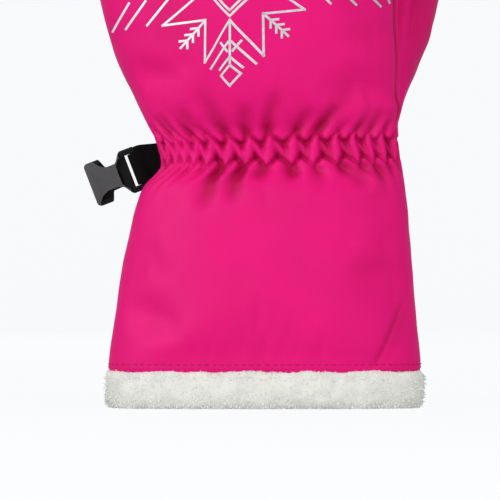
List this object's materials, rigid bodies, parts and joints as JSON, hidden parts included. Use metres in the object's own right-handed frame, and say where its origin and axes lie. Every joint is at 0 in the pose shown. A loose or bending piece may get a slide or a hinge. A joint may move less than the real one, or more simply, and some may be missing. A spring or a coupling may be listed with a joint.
{
  "type": "ski mitten",
  "caption": "Padded left-hand ski mitten with a gathered elastic wrist, flared gauntlet cuff, fur hem trim, snowflake print and a pair-clip buckle socket on a webbing tab.",
  "frame": {"origin": "middle of the bounding box in X and Y, on the plane of the fur trim's underside, where the mitten stands", "axes": "+Z from the cuff's hem to the fingertips, -Y out of the back of the hand, +Y out of the palm, +X towards the thumb"},
  "size_m": [0.1718, 0.096, 0.3052],
  "materials": {
    "shell_fabric": "satin pink woven polyester",
    "wadding": "off-white polyester fibre fill",
    "fleece_lining": "soft pale fleece",
    "fur": "short off-white pile",
    "elastic": "woven elastic tape",
    "webbing": "black woven webbing",
    "grip_patch": "matt grained synthetic leather",
    "foil_print": "silver heat-pressed foil",
    "buckle_plastic": "moulded dark grey"
  },
  "bodies": {
    "cuff": {"cuff_shell_back": "shell_fabric", "cuff_shell_palm": "shell_fabric", "cuff_wadding": "wadding", "cuff_lining": "fleece_lining", "fur_trim": "fur", "wrist_elastic": "elastic", "webbing_anchor": "webbing"},
    "hand": {"hand_shell_back": "shell_fabric", "hand_shell_palm": "shell_fabric", "thumb_base_shell": "shell_fabric", "hand_wadding": "wadding", "hand_lining": "fleece_lining", "palm_patch": "grip_patch", "snowflake_print": "foil_print"},
    "fingers": {"finger_shell_back": "shell_fabric", "finger_shell_palm": "shell_fabric", "finger_wadding": "wadding", "finger_lining": "fleece_lining", "finger_patch": "grip_patch"},
    "thumb": {"thumb_shell": "shell_fabric", "thumb_wadding": "wadding", "thumb_lining": "fleece_lining", "thumb_patch": "grip_patch"},
    "tab": {"webbing_tab": "webbing"},
    "buckle": {"buckle_socket": "buckle_plastic"}
  },
  "joints": [
    {"name": "wrist_bend", "type": "hinge", "parent": "cuff", "child": "hand", "pos_m": [-0.00207, -0.02131, 0.1208], "axis": [-1, 0, 0], "range_deg": [-40, 50]},
    {"name": "finger_bend", "type": "hinge", "parent": "hand", "child": "fingers", "pos_m": [-0.00207, -0.01631, 0.25], "axis": [-1, 0, 0], "range_deg": [-15, 50]},
    {"name": "thumb_swing", "type": "hinge", "parent": "hand", "child": "thumb", "pos_m": [0.04493, -0.0063, 0.164], "axis": [0, 1, 0], "range_deg": [-8, 35]},
    {"name": "tab_swing", "type": "hinge", "parent": "cuff", "child": "tab", "pos_m": [-0.05582, -0.0123, 0.11236], "axis": [-0.3584, 0, 0.9336], "range_deg": [-60, 12]},
    {"name": "buckle_swing", "type": "hinge", "parent": "tab", "child": "buckle", "pos_m": [-0.06067, -0.0123, 0.1105], "axis": [-0.3584, 0, 0.9336], "range_deg": [-90, 25]}
  ]
}
